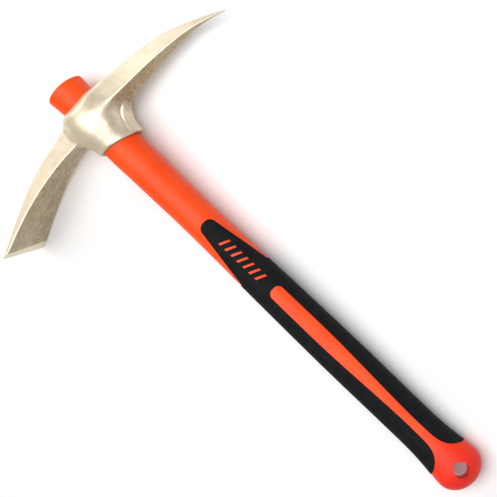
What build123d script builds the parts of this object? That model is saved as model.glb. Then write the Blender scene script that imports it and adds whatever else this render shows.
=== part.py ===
from build123d import *
import copy
import math
import os

# A pick and adze hammer with a moulded handle, lying on its side on a flat surface.
# Every piece is drawn in the tool's own axes: the origin is the centre of the eye, +X runs along the handle
# to the butt, +Y points to the pick, and +Z is the side that ends up on top. The last step lays the tool
# down so that it rests on the adze's corner, the boss and the butt.
# Millimetres and degrees.

# Head: the eye boss, from its crown to past the slanted end of its collar, each point (along, radius)
BOSS_OUTLINE = (
    (-28.0, 18.6), (-24.0, 22.4), (-14.0, 26.6), (-4.0, 27.6), (6.0, 24.9), (14.0, 22.3), (22.0, 21.0),
    (30.0, 20.7), (50.0, 20.6),
)
BOSS_RADIUS = 27.6
CROWN_TOP = -28.0
COLLAR_LENGTH = 28.7
COLLAR_SLANT = 16.0
CROWN_SADDLE_RADIUS = 38.0
CROWN_SLANT = 5.2

# Head: sections of the pick arm from root to point, each
# (reach, crown edge, side ridge, belly edge, half thickness at the ridge)
PICK_SECTIONS = (
    (16.0, -20.4, 1.4, 12.0, 18.0),
    (40.0, -18.0, 2.6, 10.8, 16.2),
    (62.0, -13.4, 4.5, 10.8, 13.5),
    (85.0, -8.4, 7.6, 12.2, 10.4),
    (108.0, -0.4, 11.8, 14.9, 7.2),
    (130.0, 11.5, 18.2, 19.8, 4.2),
    (151.5, 27.0, 27.8, 28.4, 0.9),
)
PICK_FLAT = 0.36

# Head: sections of the adze arm from root to cutting edge, each (reach, outer face, inner face, half width)
ADZE_SECTIONS = (
    (16.0, -17.5, 4.0, 15.0),
    (46.0, -15.5, 0.6, 18.0),
    (70.0, -11.3, 2.6, 23.0),
    (92.0, -3.6, 6.2, 28.0),
    (114.0, 5.2, 11.8, 31.8),
    (138.0, 14.8, 18.6, 34.6),
)
CUTTING_EDGE = (146.5, 17.9, 18.6, 35.6)
PICK_ROOT_FILLET = 8.0
ADZE_ROOT_FILLET = 5.0
ROOT_EDGE_LONGEST = 33.0
ROOT_EDGE_INSIDE = 7.0
ROOT_EDGE_OUTSIDE = 4.0

# Head: the rib from the pick's belly down the collar, each section (along the handle, reach, half width)
RIB_SECTIONS = (
    (6.0, 35.0, 8.0),
    (14.0, 27.8, 8.0),
    (22.0, 23.2, 8.0),
    (50.0, 19.0, 8.0),
)
RIB_FOOT = 10.0
RIB_FOOT_HALF_WIDTH = 12.0

# Handle: outer sections below the eye, each (along the handle, half width, half depth)
SHANK_RADIUS = 17.4
HANDLE_SECTIONS = (
    (33.0, 17.4, 17.4),
    (75.0, 16.7, 16.4),
    (120.0, 16.1, 15.6),
    (170.0, 16.6, 15.0),
    (245.0, 17.7, 14.8),
    (300.0, 18.1, 14.8),
    (355.0, 17.8, 14.9),
    (392.0, 17.8, 15.1),
    (412.0, 19.2, 15.6),
    (431.0, 21.3, 16.0),
)
HANDLE_STEPS = 22
BUTT_LENGTH = 18.6

# Handle: the flared stub that stands out of the crown, under a low slanted dome
STUB_BASE = -28.0
STUB_RIM = (-45.5, 18.7)
STUB_TOP = -49.0
STUB_DOME_RADIUS = 37.5
STUB_SLANT = 5.0
STUB_EDGE_FILLET = 2.0
STUB_EDGES_FROM = -47.5
STUB_EDGES_TO = -40.5

# The grip's faces are turned on the round eye from the plane of the head
GRIP_TURN = 20.0

# Hanging hole through the butt: a round with a corner towards the head
HOLE_AT = 434.5
HOLE_RADIUS = 6.8
HOLE_CORNER_ANGLE = 96.0

# Rubber grip, drawn in plan on the grip's face, from its centre line outwards
RUBBER_THICKNESS = 2.0
RUBBER_PROUD = 0.4
PLAN_HALF_WIDTH = 30.0
TONGUE_TIP = 134.0
TONGUE_CORNER = (138.5, 7.5)
TONGUE_ROOT = (194.0, 16.2)
RUBBER_END = 420.5
WINDOW_TIP = 217.0
WINDOW_CORNER = (221.0, 6.6)
WINDOW_SIDE = ((266.0, 6.8), (345.0, 4.5), (393.0, 3.9), (408.0, 6.4), (416.0, 13.0), (419.5, 20.0))
WINDOW_SIDE_ENDS = ((1.0, 0.0), (0.15, 1.0))
ROUND_END = (0.25, 0.66)

# Slanted bars of the jacket that show through slots in the tongue
BAR_COUNT = 7
BAR_START = 158.0
BAR_PITCH = 7.2
BAR_LENGTH = 2.4
BAR_HALF_WIDTH = 4.6
BAR_LEAN = 2.2

# Inside the handle and the eye
CORE_RADIUS = 10.0
CORE_ENDS = (-41.0, 408.0)
CORE_CHAMFER = 1.5
BOND_THICKNESS = 0.6
EYE_RADIUS = SHANK_RADIUS + BOND_THICKNESS

# How the tool lies: it rolls about the handle and pitches along it
LAY_ROLL = -3.34
LAY_PITCH = 1.40


def ring(points):
    """A closed straight-sided outline through points in space."""
    return Wire.make_polygon([Vector(*point) for point in points], close=True)


def disc(along, half_width, half_depth):
    """An oval section across the handle."""
    return Plane.YZ.offset(along) * Ellipse(half_width, half_depth)


def pick_arm():
    rings = []
    for reach, crown, ridge, belly, half in PICK_SECTIONS:
        flat = half * PICK_FLAT
        rings.append(ring([
            (crown, reach, flat), (ridge, reach, half), (belly, reach, flat),
            (belly, reach, -flat), (ridge, reach, -half), (crown, reach, -flat),
        ]))
    return Solid.make_loft(rings)


def adze_arm():
    rings = []
    for reach, outer, inner, half in ADZE_SECTIONS + (CUTTING_EDGE,):
        rings.append(ring([
            (outer, -reach, half), (inner, -reach, half), (inner, -reach, -half), (outer, -reach, -half),
        ]))
    blade = Solid.make_loft(rings[:-1])
    ground_bevel = Solid.make_loft(rings[-2:], ruled=True)
    return blade + ground_bevel


def rib():
    rings = []
    for along, reach, half in RIB_SECTIONS:
        rings.append(ring([
            (along, reach, half), (along, RIB_FOOT, RIB_FOOT_HALF_WIDTH),
            (along, RIB_FOOT, -RIB_FOOT_HALF_WIDTH), (along, reach, -half),
        ]))
    return Solid.make_loft(rings)


def boss():
    start, end = BOSS_OUTLINE[0], BOSS_OUTLINE[-1]
    outline = Curve() + [
        Spline(*BOSS_OUTLINE),
        Polyline(end, (end[0], 0), (start[0], 0), start),
    ]
    return revolve(make_face(outline), Axis.X)


def root_edges(solid, side, radius):
    """The edges where an arm on one side of the boss leaves it."""
    low, high = sorted((side * (radius - ROOT_EDGE_INSIDE), side * (radius + ROOT_EDGE_OUTSIDE)))
    return [
        edge for edge in solid.edges()
        if low < edge.center().Y < high and edge.length < ROOT_EDGE_LONGEST
    ]


def collar_cutter():
    """A block beyond the slanted end of the collar, clear of the arms."""
    size = 3 * BOSS_RADIUS
    return Pos(X=COLLAR_LENGTH) * Rot(Z=-COLLAR_SLANT) * Pos(X=size / 2) * Box(size, size, size)


def crown_saddle():
    """What the crown loses on its two sides, so that it dips between the arms and towards the pick."""
    size = 3 * BOSS_RADIUS
    block = Pos(X=CROWN_TOP) * Box(CROWN_SADDLE_RADIUS, size, size)
    barrel = Pos(X=CROWN_TOP + CROWN_SADDLE_RADIUS) * Rot(X=90) * Cylinder(CROWN_SADDLE_RADIUS, size)
    return Pos(CROWN_TOP, -EYE_RADIUS) * Rot(Z=-CROWN_SLANT) * Pos(-CROWN_TOP, EYE_RADIUS) * (block - barrel)


def pick_head():
    body = boss() + pick_arm()
    body = fillet(root_edges(body, 1, BOSS_RADIUS), PICK_ROOT_FILLET)
    body = body + adze_arm()
    body = fillet(root_edges(body, -1, BOSS_RADIUS), ADZE_ROOT_FILLET)
    body = body + rib()
    body = body - collar_cutter() - crown_saddle()
    eye = Plane.YZ.offset(STUB_TOP) * Circle(EYE_RADIUS)
    return body - extrude(eye, 2 * abs(STUB_TOP))


def handle_size(along, column):
    """The handle's half width (column 1) or half depth (column 2) between the sections, smoothly."""
    last = len(HANDLE_SECTIONS) - 1
    start = max(i for i in range(last) if HANDLE_SECTIONS[i][0] <= along)

    def slope(i):
        before, after = HANDLE_SECTIONS[max(i - 1, 0)], HANDLE_SECTIONS[min(i + 1, last)]
        return 0.0 if i in (0, last) else (after[column] - before[column]) / (after[0] - before[0])

    left, right = HANDLE_SECTIONS[start], HANDLE_SECTIONS[start + 1]
    gap = right[0] - left[0]
    t = (along - left[0]) / gap
    return (
        (2 * t**3 - 3 * t**2 + 1) * left[column] + (t**3 - 2 * t**2 + t) * gap * slope(start)
        + (3 * t**2 - 2 * t**3) * right[column] + (t**3 - t**2) * gap * slope(start + 1)
    )


def handle_form(inset=0.0):
    """The outside of the handle below the eye in the grip's own axes, or a smaller form inside it."""
    start = HANDLE_SECTIONS[0][0]
    end, width, depth = HANDLE_SECTIONS[-1]
    places = [start + (end - start) * step / HANDLE_STEPS for step in range(HANDLE_STEPS + 1)]
    grip = loft([disc(along, handle_size(along, 1) - inset, handle_size(along, 2) - inset) for along in places])
    quarter = Circle(1) & Pos(0.5, 0.5) * Rectangle(1, 1)
    butt = scale(revolve(quarter, Axis.X), by=(BUTT_LENGTH - inset, width - inset, depth - inset))
    return grip + Pos(X=end) * butt


def stub():
    """The round shank in the eye and the flared, slightly domed stub above it."""
    shank_end = HANDLE_SECTIONS[0][0]
    solid = revolve(make_face(Polyline(
        (shank_end, 0), (shank_end, SHANK_RADIUS), (STUB_BASE, SHANK_RADIUS), STUB_RIM,
        (STUB_TOP, STUB_RIM[1]), (STUB_TOP, 0), close=True,
    )), Axis.X)
    lean = math.radians(STUB_SLANT)
    dome_centre = (STUB_TOP + STUB_DOME_RADIUS * math.cos(lean), -STUB_DOME_RADIUS * math.sin(lean))
    dome = Pos(*dome_centre) * Sphere(STUB_DOME_RADIUS)
    shank = extrude(Plane.YZ.offset(dome_centre[0]) * Circle(SHANK_RADIUS), shank_end - dome_centre[0])
    solid = (solid & dome) + shank
    rim = solid.edges().filter_by_position(Axis.X, STUB_EDGES_FROM, STUB_EDGES_TO)
    return fillet(rim, STUB_EDGE_FILLET)


def both_sides(half_outline):
    """A face from an outline that starts and ends on the centre line, and its mirror image."""
    return make_face(half_outline + half_outline.mirror(Plane.XZ))


def grip_plan():
    """The rubber in plan: the tongue and two lobes, less the window and the slots for the bars."""
    rubber = both_sides(Curve() + [
        ThreePointArc((TONGUE_TIP, 0), on_arc((TONGUE_TIP, 0), TONGUE_CORNER), TONGUE_CORNER),
        Polyline(TONGUE_CORNER, TONGUE_ROOT, (TONGUE_ROOT[0], PLAN_HALF_WIDTH),
                 (RUBBER_END, PLAN_HALF_WIDTH), (RUBBER_END, 0)),
    ])
    window = both_sides(Curve() + [
        ThreePointArc((WINDOW_TIP, 0), on_arc((WINDOW_TIP, 0), WINDOW_CORNER), WINDOW_CORNER),
        Line(WINDOW_CORNER, WINDOW_SIDE[0]),
        Spline(*WINDOW_SIDE, tangents=WINDOW_SIDE_ENDS),
        Polyline(WINDOW_SIDE[-1], (RUBBER_END, PLAN_HALF_WIDTH), (RUBBER_END + 1.0, PLAN_HALF_WIDTH),
                 (RUBBER_END + 1.0, 0)),
    ])
    return rubber - window - [bar(number) for number in range(BAR_COUNT)]


def on_arc(tip, corner):
    """A point part way round the rounded end from its tip to its corner."""
    return (tip[0] + (corner[0] - tip[0]) * ROUND_END[0], tip[1] + (corner[1] - tip[1]) * ROUND_END[1])


def bar(number):
    start = BAR_START + number * BAR_PITCH
    return make_face(Polyline(
        (start - BAR_LEAN, -BAR_HALF_WIDTH), (start - BAR_LEAN + BAR_LENGTH, -BAR_HALF_WIDTH),
        (start + BAR_LEAN + BAR_LENGTH, BAR_HALF_WIDTH), (start + BAR_LEAN, BAR_HALF_WIDTH), close=True,
    ))


def hanging_hole():
    """The hole's solid: a round with two straight sides that meet in a corner towards the head."""
    half_angle = math.radians(HOLE_CORNER_ANGLE / 2)
    touch = (HOLE_AT - HOLE_RADIUS * math.sin(half_angle), HOLE_RADIUS * math.cos(half_angle))
    corner = HOLE_AT - HOLE_RADIUS / math.sin(half_angle)
    wedge = make_face(Polyline((corner, 0), touch, (HOLE_AT, 0), (touch[0], -touch[1]), close=True))
    plan = Pos(X=HOLE_AT) * Circle(HOLE_RADIUS) + wedge
    return extrude(plan, PLAN_HALF_WIDTH, both=True)


def turned(shape):
    """Turn a shape of the grip's own axes into the tool's."""
    return Rot(X=-GRIP_TURN) * shape


def rubber_grip():
    shell = handle_form(-RUBBER_PROUD) - handle_form(RUBBER_THICKNESS)
    return turned(shell & extrude(grip_plan(), PLAN_HALF_WIDTH, both=True))


def fibreglass_core():
    start, end = CORE_ENDS
    rod = extrude(Plane.YZ.offset(start) * Circle(CORE_RADIUS), end - start)
    return chamfer(rod.edges().filter_by(GeomType.CIRCLE), CORE_CHAMFER)


def handle_jacket(rubber, core):
    outside = turned(handle_form() - hanging_hole()) + stub()
    return outside - rubber - core


def eye_bond():
    """The resin between the shank and the eye, level with the crown and the collar."""
    shank = Plane.YZ.offset(CROWN_TOP) * (Circle(EYE_RADIUS) - Circle(SHANK_RADIUS))
    sleeve = extrude(shank, HANDLE_SECTIONS[0][0] - CROWN_TOP)
    return sleeve - collar_cutter() - crown_saddle()


def lay_down(pieces):
    """Lay the tool on its resting points, with the middle of its box over the origin."""
    laid = {name: Rot(Y=LAY_PITCH) * Rot(X=LAY_ROLL) * piece for name, piece in pieces.items()}
    box = Compound(children=[copy.copy(piece) for piece in laid.values()]).bounding_box()
    middle = box.center()
    return {name: Pos(-middle.X, -middle.Y, -box.min.Z) * piece for name, piece in laid.items()}


def main():
    rubber = rubber_grip()
    core = fibreglass_core()
    pieces = {
        "pick_head": pick_head(),
        "eye_bond": eye_bond(),
        "fibreglass_core": core,
        "handle_jacket": handle_jacket(rubber, core),
        "rubber_grip": rubber,
    }
    os.makedirs("parts", exist_ok=True)
    for name, piece in lay_down(pieces).items():
        export_step(piece, os.path.join("parts", name + ".step"))


if __name__ == "__main__":
    main()
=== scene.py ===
import math

import bpy
import numpy as np
from mathutils import Matrix, Vector


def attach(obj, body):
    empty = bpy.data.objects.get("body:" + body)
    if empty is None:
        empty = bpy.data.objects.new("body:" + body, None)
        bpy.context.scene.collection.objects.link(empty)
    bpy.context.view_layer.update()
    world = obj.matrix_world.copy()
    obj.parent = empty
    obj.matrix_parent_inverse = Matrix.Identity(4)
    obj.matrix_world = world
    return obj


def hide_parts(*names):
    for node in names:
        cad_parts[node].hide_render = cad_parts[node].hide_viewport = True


# A pick and adze hammer lying on its side. Blender's lengths are metres, in the frame's own axes.
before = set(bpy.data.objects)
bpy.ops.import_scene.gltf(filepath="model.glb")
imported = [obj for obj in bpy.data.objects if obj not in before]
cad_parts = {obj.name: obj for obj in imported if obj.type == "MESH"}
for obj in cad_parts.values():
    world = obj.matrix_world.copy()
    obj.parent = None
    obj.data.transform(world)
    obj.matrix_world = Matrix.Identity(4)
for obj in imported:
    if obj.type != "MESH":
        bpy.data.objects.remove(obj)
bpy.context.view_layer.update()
BODY = "root"
MM = 0.001

# The tool's own axes, in which the head is drawn: the origin is the centre of the eye, +X runs along the
# handle to the butt, +Y points to the pick and +Z is up. These say where they are in the frame (degrees).
EYE_CENTRE = Vector((-0.200205, -0.001485, 0.027546))
LAY_ROLL = -3.34
LAY_PITCH = 1.40

# Camera, in the tool's own axes (metres and degrees)
LOOK_AT = Vector((0.1763, 0.0114, 0.0))
CAMERA_DISTANCE = 0.955
CAMERA_TILT = 8.0
CAMERA_YAW = 19.35
CAMERA_ROLL = 43.73
LENS = 79.7
SENSOR_WIDTH = 36

# Light: each soft lamp is (name, place, width, height, power in watts)
LAMPS = (
    ("overhead", (-0.25, 0.1, 2.1), 2.7, 1.5, 56),
    ("crown_side", (-2.2, -0.2, 0.8), 1.4, 1.2, 13),
)
WORLD_STRENGTH = 0.14
FLOOR_HALF = 6.0

# Head, in millimetres of the tool's own axes, and the same on both sides of z = 0. In all of it "along" is x,
# and "reach" is the distance from the handle's axis. A rounding or fillet is about how wide its curve is.

# Boss: (along, half width, half depth)
BOSS = ((-32.0, 10.0, 10.0), (-28.5, 16.5, 16.5), (-26.6, 19.4, 19.4), (-25.0, 21.4, 21.4),
        (-22.0, 23.9, 23.9), (-14.0, 26.8, 26.8), (-4.0, 27.7, 27.6), (2.0, 26.5, 27.0),
        (8.5, 24.0, 25.8), (14.0, 22.2, 24.4), (18.0, 21.3, 23.4), (24.0, 20.7, 21.8), (30.0, 20.5, 20.8),
        (50.0, 20.5, 20.5))
# Its outline is an ellipse, of power 2. On the pick's side it is squarer, by so much more power, between two
# places along, and the change is spread over a run inside each of them.
BOSS_SQUARER = 0.7
BOSS_SQUARER_FROM = -8.0
BOSS_SQUARER_TO = 26.0
BOSS_SQUARER_RUN = 12.0
# The crown leans by this slope about a place on the adze's side, and the lean fades out along the boss
CROWN_SLOPE = 0.09
CROWN_PIVOT = -18.0
CROWN_FADES_FROM = -18.0
CROWN_FADES_TO = -6.0
# The saddle and the collar's chamfer cut no further out than this
CUT_REACH = 32.0
# A round saddle hollows the crown: the place of its axis, its radius, where it stops and its rounding
SADDLE_AXIS = 10.0
SADDLE_RADIUS = 38.0
SADDLE_STOPS = -4.0
SADDLE_ROUNDING = 3.0
# The collar's slanted end: where it crosses the axis, its angle in degrees, and the radius where its chamfer
# starts. The chamfer adds up two distances, and the scale makes about one of them.
COLLAR_END = 28.7
COLLAR_ANGLE = 16.0
COLLAR_CHAMFER_AT = 20.2
CHAMFER_SCALE = 0.7
COLLAR_ROUNDING = 0.8
# The end is cut between these reaches, the first on the adze's side
COLLAR_CUT_FROM = -34.0
COLLAR_CUT_TO = 45.0
EYE_RADIUS = 18.0
EYE_ROUNDING = 1.2

# Pick arm: (reach, crown edge, side ridge, belly edge, half thickness at the ridge, and at the crown edge)
PICK = ((8.0, -20.6, 1.0, 12.5, 24.0, 19.5), (22.0, -20.2, 1.6, 11.4, 21.2, 16.6),
        (32.0, -19.3, 2.0, 10.6, 18.9, 13.4), (45.0, -17.2, 2.9, 10.6, 16.2, 9.6),
        (60.0, -14.0, 4.3, 10.6, 13.8, 6.4), (80.0, -9.6, 6.8, 11.8, 11.2, 4.2),
        (98.0, -4.2, 9.8, 13.4, 8.6, 3.0), (114.0, 3.8, 13.2, 15.6, 6.4, 2.2),
        (130.0, 13.0, 18.4, 19.8, 4.2, 1.4), (142.0, 20.8, 23.6, 24.3, 2.6, 0.9),
        (153.0, 28.2, 28.9, 29.2, 1.3, 0.5))
PICK_START = 8.0
PICK_START_ROUNDING = 10.0
PICK_TIP = 151.3
TIP_ROUNDING = 0.4
PICK_FILLET = 8.0
# Half thickness at the belly edge, as a share of that at the ridge
PICK_BELLY = 0.26
# Its roundings: the side ridge and the crown edge have more at the root
RIDGE_ROUNDING = 1.6
RIDGE_ROOT_ROUNDING = 8.0
CROWN_ROUNDING = 4.0
CROWN_ROOT_ROUNDING = 5.0
BELLY_ROUNDING = 3.0
# The root's extra rounding fades out over the first two reaches, and the others shrink over the last two, to
# the smallest share
PICK_ROOT_FROM = 16.0
PICK_ROOT_TO = 32.0
PICK_SLIM_FROM = 88.0
PICK_SLIM_TO = 158.0
PICK_SLIMMEST = 0.08

# Adze arm: (reach, outer face, inner face, half width)
ADZE = ((5.0, -20.5, 5.0, 14.5), (28.0, -19.7, 1.4, 15.6), (46.0, -17.0, 0.6, 18.0),
        (70.0, -12.5, 2.5, 23.0), (92.0, -4.6, 6.4, 28.0), (112.0, 3.7, 11.2, 31.4),
        (127.0, 9.7, 15.4, 33.4), (138.0, 14.2, 18.7, 34.8), (150.0, 19.2, 22.6, 36.2))
ADZE_START = 10.0
ADZE_END = 146.5
ADZE_END_ROUNDING = 0.6
ADZE_FILLET = 4.0
# Its sides lean in by this slope towards the outer face
ADZE_DRAFT = 0.28
# The plane that grinds the inner face off at the cutting edge
ADZE_GROUND = 18.8
GROUND_ROUNDING = 0.4
FACE_ROUNDING = 1.0
SIDE_ROUNDING = 1.5

# Rib from the pick's belly down the collar: (along, reach, half width)
RIB = ((4.0, 42.0, 6.0), (9.9, 32.5, 7.5), (14.0, 28.0, 9.0), (21.7, 23.5, 9.5), (28.0, 22.0, 9.5),
       (44.0, 21.6, 9.5))
# It starts at this place along, and lies beyond this reach
RIB_START = 2.0
RIB_NEAREST = 12.0
RIB_ROUNDING = 4.0
RIB_FILLET = 3.0

# Rounding of the ends of the adze arm and the rib that are buried in the boss
BURIED_ROUNDING = 4.0
# A distance so far inside that a cut with it changes nothing
NO_CUT = -30.0

# Mesh of the head: the box it is looked for in, and the size of its squares
HEAD_LOW = (-31, -149, -38)
HEAD_HIGH = (46, 155, 38)
SQUARE = 0.75
# How many layers of the box are worked out at a time, which only saves memory
LAYERS = 8
# A point that settles moves no further than this a round, and a slope under the second counts as the second
LONGEST_MOVE = 0.5
LEAST_SLOPE = 0.1


# ---------------------------------------------------------------- axes, camera, light

def tool_axes():
    """Where the tool's own axes are in the frame."""
    turn = Matrix.Rotation(math.radians(LAY_PITCH), 4, "Y") @ Matrix.Rotation(math.radians(LAY_ROLL), 4, "X")
    return Matrix.Translation(EYE_CENTRE) @ turn


TOOL = tool_axes()


def add_camera():
    """The camera looks down on the tool with the handle running to the lower right of the picture."""
    tilt, yaw, roll = (math.radians(angle) for angle in (CAMERA_TILT, CAMERA_YAW, CAMERA_ROLL))
    back = Vector((math.sin(tilt), math.cos(tilt) * math.sin(yaw), math.cos(tilt) * math.cos(yaw)))
    along = (Vector((1, 0, 0)) - back * back.x).normalized()
    across = back.cross(along)
    right = along * math.cos(roll) + across * math.sin(roll)
    up = back.cross(right)
    pose = Matrix((right, up, back)).transposed().to_4x4()
    pose.translation = LOOK_AT + back * CAMERA_DISTANCE
    camera = bpy.data.cameras.new("camera")
    camera.lens = LENS
    camera.sensor_width = SENSOR_WIDTH
    holder = bpy.data.objects.new("camera", camera)
    bpy.context.scene.collection.objects.link(holder)
    holder.matrix_world = TOOL @ pose
    bpy.context.scene.camera = holder


def add_light(name, place, width, height, power):
    """A soft oblong lamp that looks at the middle of the tool."""
    data = bpy.data.lights.new(name, "AREA")
    data.shape = "RECTANGLE"
    data.size = width
    data.size_y = height
    data.energy = power
    lamp = bpy.data.objects.new(name, data)
    bpy.context.scene.collection.objects.link(lamp)
    lamp.location = place
    lamp.rotation_euler = Vector(place).to_track_quat("Z", "Y").to_euler()


def add_floor():
    """A plain sheet under the tool."""
    corners = [(x * FLOOR_HALF, y * FLOOR_HALF, 0) for x, y in ((-1, -1), (1, -1), (1, 1), (-1, 1))]
    mesh = bpy.data.meshes.new("floor")
    mesh.from_pydata(corners, [], [(0, 1, 2, 3)])
    plane = bpy.data.objects.new("floor", mesh)
    bpy.context.scene.collection.objects.link(plane)
    coat(plane, pale_floor())


def add_world():
    """Weak even light from all round."""
    world = bpy.data.worlds.new("world")
    bpy.context.scene.world = world
    world.use_nodes = True
    world.node_tree.nodes["Background"].inputs["Color"].default_value = (1, 1, 1, 1)
    world.node_tree.nodes["Background"].inputs["Strength"].default_value = WORLD_STRENGTH


# ---------------------------------------------------------------- materials

# Colours. A pair is the two that a material's patches run between.
CHAMPAGNE = ((0.79, 0.665, 0.485), (0.86, 0.74, 0.56))
CHAMPAGNE_SPECKS = (0.52, 0.43, 0.30)
# The grainy tan where the forging faces the butt, partly painted shade
FORGED_AND_SHADED_TAN = ((0.36, 0.28, 0.14), (0.50, 0.40, 0.22))
FORGED_SPECKS = (0.15, 0.115, 0.065)
# Paler, towards white, on sharp edges
PALE_EDGES = (0.95, 0.90, 0.80)
# Painted shade in the creases
PAINTED_CREASE_SHADE = (0.20, 0.16, 0.10)
ORANGE = ((1.0, 0.070, 0.006), (1.0, 0.090, 0.009))
# Painted shade towards the butt: a darker, redder orange
BUTT_SHADE_RED = (0.92, 0.032, 0.018)
RUBBER_BLACK = (0.0045, 0.0055, 0.0065)
RUBBER_DUST = (0.014, 0.015, 0.016)
RESIN_OLIVE = ((0.17, 0.155, 0.10), (0.27, 0.25, 0.17))
FIBRE_STRAW = ((0.66, 0.60, 0.42), (0.86, 0.82, 0.66))
FLOOR_WHITE = ((0.91, 0.91, 0.91), (0.94, 0.94, 0.94))

# Painted shade turns the polymer darker and redder between these places along the frame's X
BUTT_SHADE_FROM = 0.175
BUTT_SHADE_TO = 0.235
# The forging turns dark, a grainy tan that is partly painted shade, as its normal's X goes from the first of
# these to the second, and it turns pale again for the ground bevel, as the frame's Y goes from the third to
# the fourth
SHADE_FROM = 0.50
SHADE_TO = 1.00
GROUND_FROM = -0.1385
GROUND_TO = -0.1400


class Surface:
    """A material under construction: its shader, and short ways to add procedural nodes to it."""

    def __init__(self, name, roughness, metallic=0.0, specular=0.5):
        self.material = bpy.data.materials.new(name)
        self.material.use_nodes = True
        self.nodes = self.material.node_tree.nodes
        self.links = self.material.node_tree.links
        self.shader = self.nodes["Principled BSDF"]
        self.shader.inputs["Roughness"].default_value = roughness
        self.shader.inputs["Metallic"].default_value = metallic
        self.shader.inputs["Specular IOR Level"].default_value = specular
        coordinates = self.nodes.new("ShaderNodeTexCoord")
        self.place = coordinates.outputs["Object"]
        self.facing = coordinates.outputs["Normal"]

    def noise(self, per_metre, detail=3.0, stretch=(1, 1, 1)):
        """Noise with so many waves to the metre, longer along an axis whose stretch is under 1."""
        spread = self.nodes.new("ShaderNodeMapping")
        spread.inputs["Scale"].default_value = stretch
        noise = self.nodes.new("ShaderNodeTexNoise")
        noise.inputs["Scale"].default_value = per_metre
        noise.inputs["Detail"].default_value = detail
        self.links.new(self.place, spread.inputs["Vector"])
        self.links.new(spread.outputs["Vector"], noise.inputs["Vector"])
        return noise.outputs["Fac"]

    def part(self, vector, axis):
        """One part of a vector, X, Y or Z."""
        split = self.nodes.new("ShaderNodeSeparateXYZ")
        self.links.new(vector, split.inputs["Vector"])
        return split.outputs[axis]

    def edges(self):
        """How the surface bends: over a half on an edge, and under it in a crease."""
        return self.nodes.new("ShaderNodeNewGeometry").outputs["Pointiness"]

    def remap(self, value, low, high, to_low=0.0, to_high=1.0):
        """A value stretched from one range to another, and held inside it."""
        node = self.nodes.new("ShaderNodeMapRange")
        for name, number in zip(("From Min", "From Max", "To Min", "To Max"), (low, high, to_low, to_high)):
            node.inputs[name].default_value = number
        self.links.new(value, node.inputs["Value"])
        return node.outputs["Result"]

    def times(self, first, second):
        """Two values multiplied."""
        node = self.nodes.new("ShaderNodeMath")
        node.operation = "MULTIPLY"
        self.links.new(first, node.inputs[0])
        self.links.new(second, node.inputs[1])
        return node.outputs["Value"]

    def mix(self, share, first, second):
        """A colour between two, each a colour or the output of a node."""
        node = self.nodes.new("ShaderNodeMix")
        node.data_type = "RGBA"
        self.links.new(share, node.inputs["Factor"])
        for name, colour in (("A", first), ("B", second)):
            socket = [socket for socket in node.inputs if socket.name == name and socket.type == "RGBA"][0]
            if isinstance(colour, tuple):
                socket.default_value = (*colour, 1)
            else:
                self.links.new(colour, socket)
        return [socket for socket in node.outputs if socket.type == "RGBA"][0]

    def finish(self, colour, roughness=None, bumps=()):
        """Link the colour, the roughness and the bumps, each (height, depth in metres, strength)."""
        self.links.new(colour, self.shader.inputs["Base Color"])
        if roughness:
            self.links.new(roughness, self.shader.inputs["Roughness"])
        normal = None
        for height, depth, strength in bumps:
            bump = self.nodes.new("ShaderNodeBump")
            bump.inputs["Distance"].default_value = depth
            bump.inputs["Strength"].default_value = strength
            self.links.new(height, bump.inputs["Height"])
            if normal:
                self.links.new(normal, bump.inputs["Normal"])
            normal = bump.outputs["Normal"]
        if normal:
            self.links.new(normal, self.shader.inputs["Normal"])
        return self.material


def forged_metal():
    """Blasted, lacquered steel: pale champagne, but grainy and dark where it faces the butt, a forged tan
    darkened with painted shade.
    """
    metal = Surface("forged_metal", roughness=0.4, metallic=0.45)
    metal.shader.inputs["Coat Weight"].default_value = 0.2
    metal.shader.inputs["Coat Roughness"].default_value = 0.3
    mottling = metal.remap(metal.noise(90, 5), 0.35, 0.65)
    grain = metal.noise(420, 4)
    pale = metal.mix(mottling, *CHAMPAGNE)
    pale = metal.mix(metal.remap(grain, 0.38, 0.50, 0.15, 0.0), pale, CHAMPAGNE_SPECKS)
    tan_and_shade = metal.mix(mottling, *FORGED_AND_SHADED_TAN)
    tan_and_shade = metal.mix(metal.remap(grain, 0.35, 0.50, 0.7, 0.0), tan_and_shade, FORGED_SPECKS)
    # Painted shade: darker where the normal faces the butt, except on the ground bevel
    shade_facing_butt = metal.remap(metal.part(metal.facing, "X"), SHADE_FROM, SHADE_TO)
    not_ground = metal.remap(metal.part(metal.place, "Y"), GROUND_TO, GROUND_FROM)
    colour = metal.mix(metal.times(shade_facing_butt, not_ground), pale, tan_and_shade)
    # Paler, towards white, on sharp edges
    colour = metal.mix(metal.remap(metal.edges(), 0.52, 0.60, 0.0, 0.6), colour, PALE_EDGES)
    # Painted shade: darker in the creases
    colour = metal.mix(metal.remap(metal.edges(), 0.44, 0.49, 0.6, 0.0), colour, PAINTED_CREASE_SHADE)
    roughness = metal.remap(metal.noise(160, 4), 0.3, 0.7, 0.34, 0.46)
    return metal.finish(colour, roughness, ((grain, 0.0004, 0.25), (metal.noise(1500, 2), 0.0001, 0.25)))


def orange_polymer():
    """Satin moulded orange, made darker and redder towards the butt by painted shade, with a fine mould
    texture.
    """
    polymer = Surface("orange_polymer", roughness=0.45, specular=0.25)
    patches = polymer.remap(polymer.noise(35, 3), 0.35, 0.65)
    colour = polymer.mix(patches, *ORANGE)
    # Painted shade: darker and redder towards the butt
    shade_to_butt = polymer.remap(polymer.part(polymer.place, "X"), BUTT_SHADE_FROM, BUTT_SHADE_TO)
    colour = polymer.mix(shade_to_butt, colour, BUTT_SHADE_RED)
    roughness = polymer.remap(polymer.noise(220, 4), 0.3, 0.7, 0.40, 0.52)
    flow = polymer.noise(70, 3, stretch=(0.25, 1, 1))
    return polymer.finish(colour, roughness, ((polymer.noise(2200, 2), 0.0001, 0.2), (flow, 0.0004, 0.08)))


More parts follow.
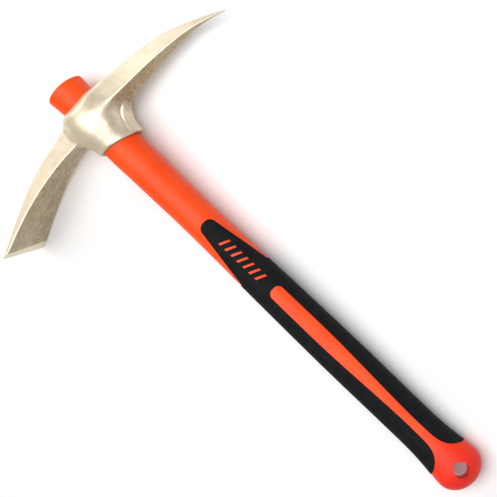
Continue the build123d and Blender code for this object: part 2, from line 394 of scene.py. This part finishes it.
def black_rubber():
    """Matt moulded rubber with a fine stipple and a little dust."""
    rubber = Surface("black_rubber", roughness=0.75, specular=0.18)
    dust = rubber.remap(rubber.noise(150, 5), 0.45, 0.75, 0.0, 0.5)
    colour = rubber.mix(dust, RUBBER_BLACK, RUBBER_DUST)
    roughness = rubber.remap(rubber.noise(300, 3), 0.3, 0.7, 0.68, 0.85)
    return rubber.finish(colour, roughness, ((rubber.noise(1700, 2), 0.0002, 0.35),))


def resin():
    """Cloudy olive-brown resin."""
    glue = Surface("resin", roughness=0.35)
    colour = glue.mix(glue.remap(glue.noise(300, 4), 0.3, 0.7), *RESIN_OLIVE)
    roughness = glue.remap(glue.noise(500), 0.3, 0.7, 0.3, 0.5)
    return glue.finish(colour, roughness, ((glue.noise(900), 0.0002, 0.3),))


def glass_fibre():
    """Pale rod with its fibres running along the handle."""
    rod = Surface("glass_fibre", roughness=0.5)
    fibres = rod.noise(1200, 3, stretch=(0.02, 1, 1))
    colour = rod.mix(rod.remap(fibres, 0.35, 0.65), *FIBRE_STRAW)
    return rod.finish(colour, rod.remap(fibres, 0.3, 0.7, 0.4, 0.6), ((fibres, 0.0001, 0.4),))


def pale_floor():
    """Matt white board, very slightly uneven in tone."""
    board = Surface("pale_floor", roughness=0.8, specular=0.2)
    colour = board.mix(board.remap(board.noise(6, 3), 0.3, 0.7), *FLOOR_WHITE)
    return board.finish(colour)


def coat(piece, material):
    """Give a piece one material, in place of any that it has."""
    piece.data.materials.clear()
    piece.data.materials.append(material)


# ---------------------------------------------------------------- the head as one smooth surface

def track(at, stations, column):
    """A value of the stations, smoothly interpolated."""
    places = np.array([station[0] for station in stations])
    values = np.array([station[column] for station in stations])
    slopes = np.gradient(values, places)
    i = np.clip(np.searchsorted(places, at) - 1, 0, len(places) - 2)
    gap = places[i + 1] - places[i]
    t = np.clip((at - places[i]) / gap, 0, 1)
    return (
        (2 * t**3 - 3 * t**2 + 1) * values[i] + (t**3 - 2 * t**2 + t) * gap * slopes[i]
        + (3 * t**2 - 2 * t**3) * values[i + 1] + (t**3 - t**2) * gap * slopes[i + 1]
    )


def both(a, b, radius):
    """Where two shapes overlap, with an edge rounded over about that radius."""
    near = np.maximum(radius - np.abs(a - b), 0) / radius
    return np.maximum(a, b) + near * near * radius * 0.25


def either(a, b, radius):
    """Two shapes joined, with a fillet over about that radius."""
    return -both(-a, -b, radius)


def beyond_line(x, z, start, end):
    """How far a point is outside the line from start to end."""
    run = end[0] - start[0]
    rise = end[1] - start[1]
    return ((z - start[1]) * run - (x - start[0]) * rise) / np.hypot(run, rise)


def ramp(at, nought, one):
    """Straight from 0 at one place to 1 at another, and level beyond them."""
    return np.clip((at - nought) / (one - nought), 0, 1)


def pick_arm(x, y, z):
    """Six-sided arm, whose ridge and edges are soft at the root and finer towards the tip."""
    crown, ridge, belly, half, crown_half = (track(y, PICK, column) for column in (1, 2, 3, 4, 5))
    upper_side = beyond_line(x, z, (crown, crown_half), (ridge, half))
    lower_side = beyond_line(x, z, (ridge, half), (belly, PICK_BELLY * half))
    root = ramp(y, PICK_ROOT_TO, PICK_ROOT_FROM)
    slim = np.maximum(ramp(y, PICK_SLIM_TO, PICK_SLIM_FROM), PICK_SLIMMEST)
    shape = both(upper_side, lower_side, RIDGE_ROUNDING * slim + RIDGE_ROOT_ROUNDING * root)
    shape = both(shape, crown - x, CROWN_ROUNDING * slim + CROWN_ROOT_ROUNDING * root)
    shape = both(shape, x - belly, BELLY_ROUNDING * slim)
    shape = both(shape, y - PICK_TIP, TIP_ROUNDING)
    return both(shape, PICK_START - y, PICK_START_ROUNDING)


def adze_arm(x, y, z):
    """Flat arm that widens to its cutting edge, where the inner face is ground off."""
    outer, inner, half = (track(-y, ADZE, column) for column in (1, 2, 3))
    shape = both(outer - x, x - inner, FACE_ROUNDING)
    shape = both(shape, z - half + ADZE_DRAFT * (inner - x), SIDE_ROUNDING)
    shape = both(shape, x - ADZE_GROUND, GROUND_ROUNDING)
    shape = both(shape, -y - ADZE_END, ADZE_END_ROUNDING)
    return both(shape, ADZE_START + y, BURIED_ROUNDING)


def rib(x, y, z):
    """The web that carries the pick's belly down on to the collar."""
    shape = both(y - track(x, RIB, 1), z - track(x, RIB, 2), RIB_ROUNDING)
    shape = both(shape, RIB_NEAREST - y, BURIED_ROUNDING)
    return both(shape, RIB_START - x, BURIED_ROUNDING)


def crown_lean(y):
    """How far the crown is moved along, towards the butt."""
    return CROWN_SLOPE * (y - CROWN_PIVOT)


def boss(x, y, z):
    """Round body whose crown leans, and which is squarer on the pick's side."""
    lean = crown_lean(y) * ramp(x, CROWN_FADES_TO, CROWN_FADES_FROM)
    half_width, half_depth = (track(x - lean, BOSS, column) for column in (1, 2))
    starts = ramp(x, BOSS_SQUARER_FROM, BOSS_SQUARER_FROM + BOSS_SQUARER_RUN)
    ends = ramp(x, BOSS_SQUARER_TO, BOSS_SQUARER_TO - BOSS_SQUARER_RUN)
    power = 2.0 + BOSS_SQUARER * starts * ends * (y > 0)
    rim = ((np.abs(y) / half_width) ** power + (z / half_depth) ** power) ** (1 / power)
    return (rim - 1) * half_width


def head_field(points):
    """Below zero inside the forging, above zero outside it."""
    x, y, z = points[..., 0], points[..., 1], np.abs(points[..., 2])
    radius = np.hypot(y, z)
    shape = either(boss(x, y, z), pick_arm(x, y, z), PICK_FILLET)
    shape = either(shape, rib(x, y, z), RIB_FILLET)
    shape = either(shape, adze_arm(x, y, z), ADZE_FILLET)
    slant = math.radians(COLLAR_ANGLE)
    collar_end = (x - COLLAR_END) * math.cos(slant) - y * math.sin(slant)
    chamfer = (collar_end + radius - COLLAR_CHAMFER_AT) * CHAMFER_SCALE
    saddle = np.hypot(x - SADDLE_AXIS - crown_lean(y), z) - SADDLE_RADIUS
    near_collar = (y > COLLAR_CUT_FROM) & (y < COLLAR_CUT_TO)
    near_eye = radius < CUT_REACH
    shape = both(shape, np.where(near_collar, collar_end, NO_CUT), COLLAR_ROUNDING)
    shape = both(shape, np.where(near_collar & near_eye, chamfer, NO_CUT), COLLAR_ROUNDING)
    shape = both(shape, np.where((x < SADDLE_STOPS) & near_eye, saddle, NO_CUT), SADDLE_ROUNDING)
    return both(shape, EYE_RADIUS - radius, EYE_ROUNDING)


UNIT = np.eye(3, dtype=int)


def surface_net(field, low, high, step):
    """Points near a field's zero, one in each cell that it crosses, and the squares between them."""
    count = np.ceil((np.array(high) - np.array(low)) / step).astype(int) + 1
    places = [low[axis] + step * np.arange(count[axis]) for axis in range(3)]
    values = np.empty(count, np.float32)
    for start in range(0, count[0], LAYERS):
        layers = slice(start, start + LAYERS)
        grid = np.meshgrid(places[0][layers], places[1], places[2], indexing="ij")
        values[layers] = field(np.stack(grid, -1))
    inside = values < 0
    corners = np.zeros(count - 1, np.int8)
    for shift in np.ndindex(2, 2, 2):
        corners += inside[tuple(slice(s, n - 1 + s) for s, n in zip(shift, count))]
    crossed = (corners > 0) & (corners < 8)
    number = np.full(crossed.shape, -1)
    number[crossed] = np.arange(crossed.sum())
    cells = np.argwhere(crossed)
    total = np.zeros((len(cells), 3))
    hits = np.zeros(len(cells))
    squares = []
    for axis in range(3):
        side, up = UNIT[(axis + 1) % 3], UNIT[(axis + 2) % 3]
        for a, b in np.ndindex(2, 2):
            start = cells + a * side + b * up
            first, last = values[tuple(start.T)], values[tuple((start + UNIT[axis]).T)]
            hit = (first < 0) != (last < 0)
            share = first / np.where(hit, first - last, 1)
            total += np.where(hit, 1, 0)[:, None] * (start + share[:, None] * UNIT[axis])
            hits += hit
        near = [slice(1, n - 1) for n in count]
        near[axis] = slice(0, count[axis] - 1)
        far = list(near)
        far[axis] = slice(1, count[axis])
        here, there = inside[tuple(near)], inside[tuple(far)]
        offset = np.array([part.start for part in near])
        for change, turn in ((here & ~there, 1), (~here & there, -1)):
            base = np.argwhere(change) + offset
            ring = [base, base - side, base - side - up, base - up][::turn]
            squares.append(np.stack([number[tuple(corner.T)] for corner in ring], 1))
    return np.array(low) + step * total / hits[:, None], np.concatenate(squares)


def gradient(field, points, reach=0.05):
    """The field's slope at each point, from the values a short way to both sides."""
    return np.stack([(field(points + reach * d) - field(points - reach * d)) / (2 * reach) for d in UNIT], -1)


def settle(field, points, rounds):
    """Move points on to the field's zero along its slope."""
    for _ in range(rounds):
        slope = gradient(field, points)
        step = slope * (field(points) / np.maximum((slope * slope).sum(1), LEAST_SLOPE))[:, None]
        length = np.linalg.norm(step, axis=1)[:, None]
        points = points - step * np.minimum(1, LONGEST_MOVE / np.maximum(length, 1e-9))
    return points


def relax(points, squares):
    """Move each point half way to the middle of its neighbours."""
    total = np.zeros_like(points)
    hits = np.zeros(len(points))
    for corner in range(4):
        for step in (1, 3):
            np.add.at(total, squares[:, corner], points[squares[:, (corner + step) % 4]])
            np.add.at(hits, squares[:, corner], 1)
    return (points + total / hits[:, None]) / 2


def add_head():
    """The head's surface: a rough net over the field, settled on to it and evened out."""
    step = SQUARE
    points, squares = surface_net(head_field, HEAD_LOW, HEAD_HIGH, step)
    points = settle(head_field, points, 3)
    for _ in range(2):
        points = settle(head_field, relax(points, squares), 2)
    points = settle(head_field, points, 2)
    mesh = bpy.data.meshes.new("forged_head")
    mesh.from_pydata((points * MM).tolist(), [], squares.tolist())
    mesh.transform(TOOL)
    mesh.polygons.foreach_set("use_smooth", [True] * len(mesh.polygons))
    mesh.validate()
    mesh.update()
    head = bpy.data.objects.new("forged_head", mesh)
    bpy.context.scene.collection.objects.link(head)
    coat(head, forged_metal())
    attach(head, BODY)
    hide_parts("pick_head")


bpy.context.scene.view_settings.view_transform = "Standard"
add_camera()
add_floor()
add_world()
for lamp in LAMPS:
    add_light(*lamp)
add_head()
for node, material in (
    ("eye_bond", resin), ("fibreglass_core", glass_fibre),
    ("handle_jacket", orange_polymer), ("rubber_grip", black_rubber),
):
    coat(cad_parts[node], material())
